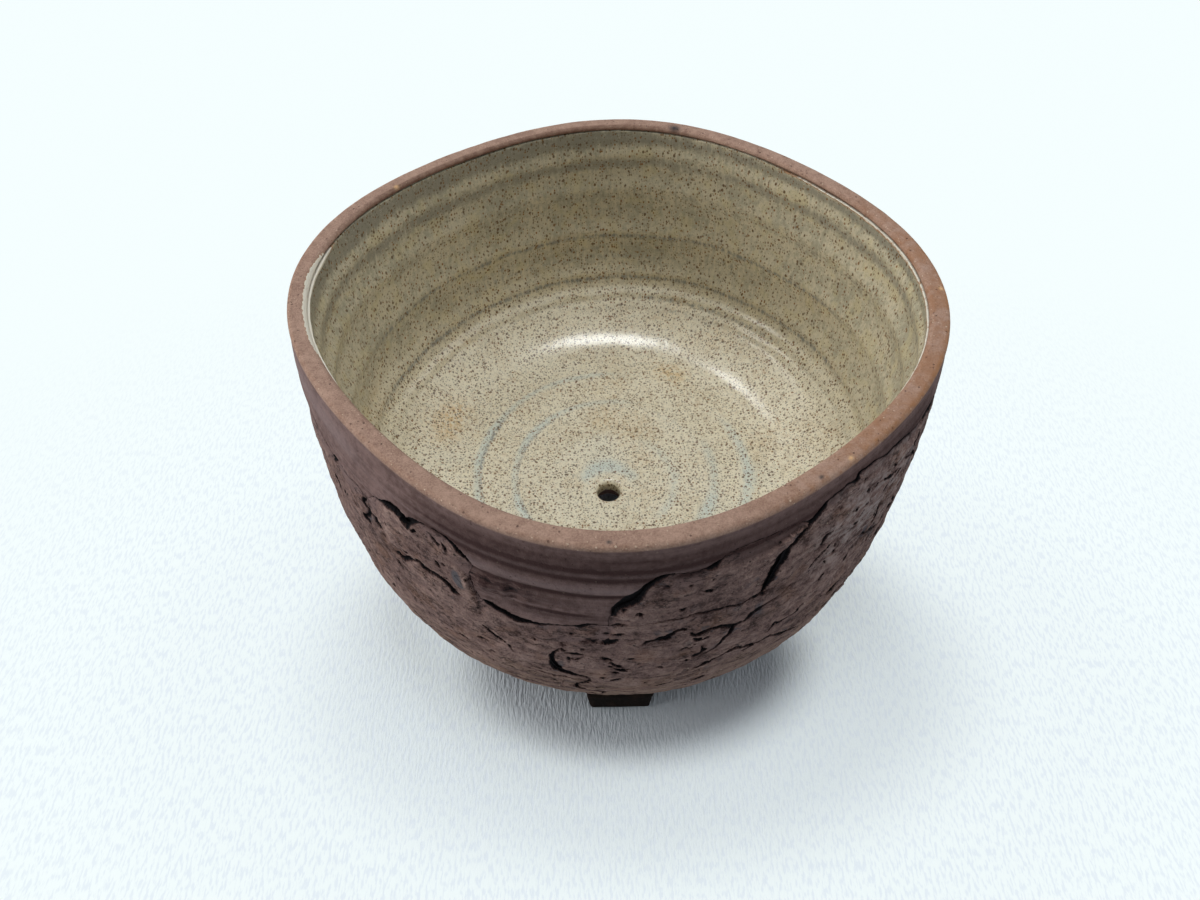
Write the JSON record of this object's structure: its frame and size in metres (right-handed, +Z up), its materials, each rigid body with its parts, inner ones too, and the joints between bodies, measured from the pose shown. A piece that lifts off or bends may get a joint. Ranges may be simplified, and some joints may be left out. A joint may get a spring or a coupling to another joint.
{
  "type": "jardiniere",
  "caption": "Small softly squared stoneware jardiniere with a glazed lining, a torn bark skin, a drain hole and slab feet.",
  "frame": {"origin": "on the table under the middle of the pot, at the bottom centre of its box", "axes": "+Z up through the mouth, -Y towards the front corner that faces the camera, +X to its right"},
  "size_m": [0.1806, 0.1772, 0.1],
  "materials": {
    "stoneware": "unglazed red-brown grogged stoneware, matte",
    "lining_glaze": "glossy speckled olive-buff glaze",
    "bark_clay": "torn purple-brown stoneware with a dark wash in the cracks, matte",
    "foot_clay": "unglazed near-black clay, matte"
  },
  "bodies": {
    "root": {"thrown_bowl": "stoneware", "glaze_lining": "lining_glaze", "bark_left_side": "bark_clay", "bark_front_left_shoulder": "bark_clay", "bark_front_right_shoulder": "bark_clay", "bark_right_front_shoulder": "bark_clay", "bark_front_left_belly": "bark_clay", "bark_front_middle": "bark_clay", "bark_front_brow": "bark_clay", "bark_right_front_belly": "bark_clay", "bark_right_side": "bark_clay", "bark_right_back_shoulder": "bark_clay", "bark_back_shoulder": "bark_clay", "bark_left_back_shoulder": "bark_clay", "bark_left_foot": "bark_clay", "bark_front_left_foot": "bark_clay", "bark_front_right_foot": "bark_clay", "bark_right_foot": "bark_clay", "bark_right_back_belly": "bark_clay", "bark_back_belly": "bark_clay", "bark_left_back_belly": "bark_clay", "foot_front": "foot_clay", "foot_right": "foot_clay", "foot_back": "foot_clay", "foot_left": "foot_clay"}
  },
  "joints": []
}
